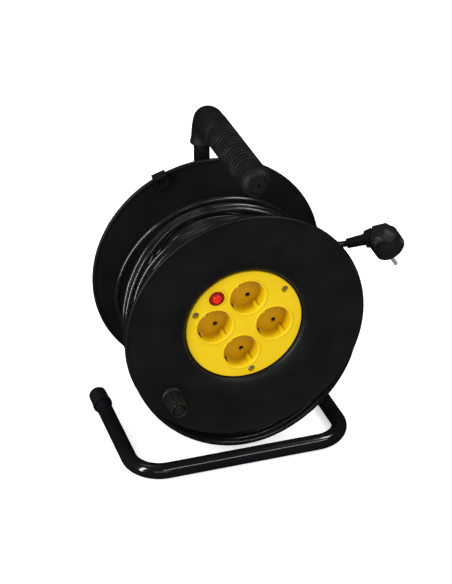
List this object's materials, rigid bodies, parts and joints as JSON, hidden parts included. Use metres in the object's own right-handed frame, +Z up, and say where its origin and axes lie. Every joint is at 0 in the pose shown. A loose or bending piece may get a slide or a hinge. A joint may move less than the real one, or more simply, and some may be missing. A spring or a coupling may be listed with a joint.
{
  "type": "extension cord reel",
  "caption": "Portable cord reel: a bent tube frame with a ribbed handle carries a turning drum with an earthed socket panel, winding knob, wound cord and angled plug.",
  "frame": {"origin": "on the floor, in the middle of the part's width and depth without its cord and plug", "axes": "+Z up; -Y towards the socket panel and the handle's free end; +X to the right seen from the panel"},
  "size_m": [0.3436, 0.2322, 0.409],
  "materials": {
    "painted_tube": "gloss black paint over bent steel tube",
    "grip_rubber": "matte black moulded rubber, ribbed on the handle",
    "drum_plastic": "satin black moulded polypropylene with a fine grain",
    "knob_plastic": "satin black moulded plastic",
    "panel_yellow": "yellow semi-gloss moulded plastic",
    "button_red": "glossy red plastic",
    "cutout_grey": "grey moulded plastic",
    "bush_nylon": "natural nylon",
    "cord_rubber": "black flexible cord sheath with a satin gloss",
    "plug_plastic": "black moulded plug with a satin gloss",
    "plated_pins": "nickel-plated brass",
    "brass_contacts": "bright sprung brass",
    "steel_hardware": "zinc-plated steel",
    "steel_screws": "zinc-plated cross-headed screws"
  },
  "bodies": {
    "frame": {"frame_tube": "painted_tube", "foot_cap": "grip_rubber", "handle_grip": "grip_rubber", "axle": "steel_hardware", "head_washer": "steel_hardware", "axle_spacer": "steel_hardware", "axle_washer": "steel_hardware", "axle_nut": "steel_hardware", "slack_turns": "cord_rubber", "cord_tail": "cord_rubber", "plug_boot": "cord_rubber", "plug_body": "plug_plastic", "plug_pin_1": "plated_pins", "plug_pin_2": "plated_pins", "plug_earth_1": "plated_pins", "plug_earth_2": "plated_pins"},
    "drum": {"cord_clip": "drum_plastic", "cover_screw_1": "steel_screws", "cover_screw_2": "steel_screws", "cover_screw_3": "steel_screws", "earth_clip_1": "brass_contacts", "earth_clip_2": "brass_contacts", "earth_clip_3": "brass_contacts", "earth_clip_4": "brass_contacts", "front_flange": "drum_plastic", "hub_bush": "bush_nylon", "inner_cover": "drum_plastic", "joint_screw_1": "steel_screws", "joint_screw_2": "steel_screws", "joint_screw_3": "steel_screws", "joint_screw_4": "steel_screws", "knob_pin": "knob_plastic", "live_bar": "brass_contacts", "neutral_bar": "brass_contacts", "panel_screw_1": "steel_screws", "panel_screw_2": "steel_screws", "panel_screw_3": "steel_screws", "rear_flange": "drum_plastic", "socket_panel": "panel_yellow", "thermal_cutout": "cutout_grey", "wound_coil": "cord_rubber"},
    "winding_knob": {"winding_knob": "knob_plastic"},
    "reset_button": {"reset_button": "button_red"}
  },
  "joints": [
    {"name": "drum_spin", "type": "hinge", "parent": "frame", "child": "drum", "pos_m": [0.0037, 0.0525, 0.189], "axis": [0, 1, 0], "continuous": true},
    {"name": "knob_spin", "type": "hinge", "parent": "drum", "child": "winding_knob", "pos_m": [-0.0868, -0.0925, 0.1175], "axis": [0, 1, 0], "continuous": true},
    {"name": "reset_button_push", "type": "slide", "parent": "drum", "child": "reset_button", "axis": [0, 1, 0], "range_m": [0, 0.0025], "stiffness_N_per_m": 900}
  ]
}
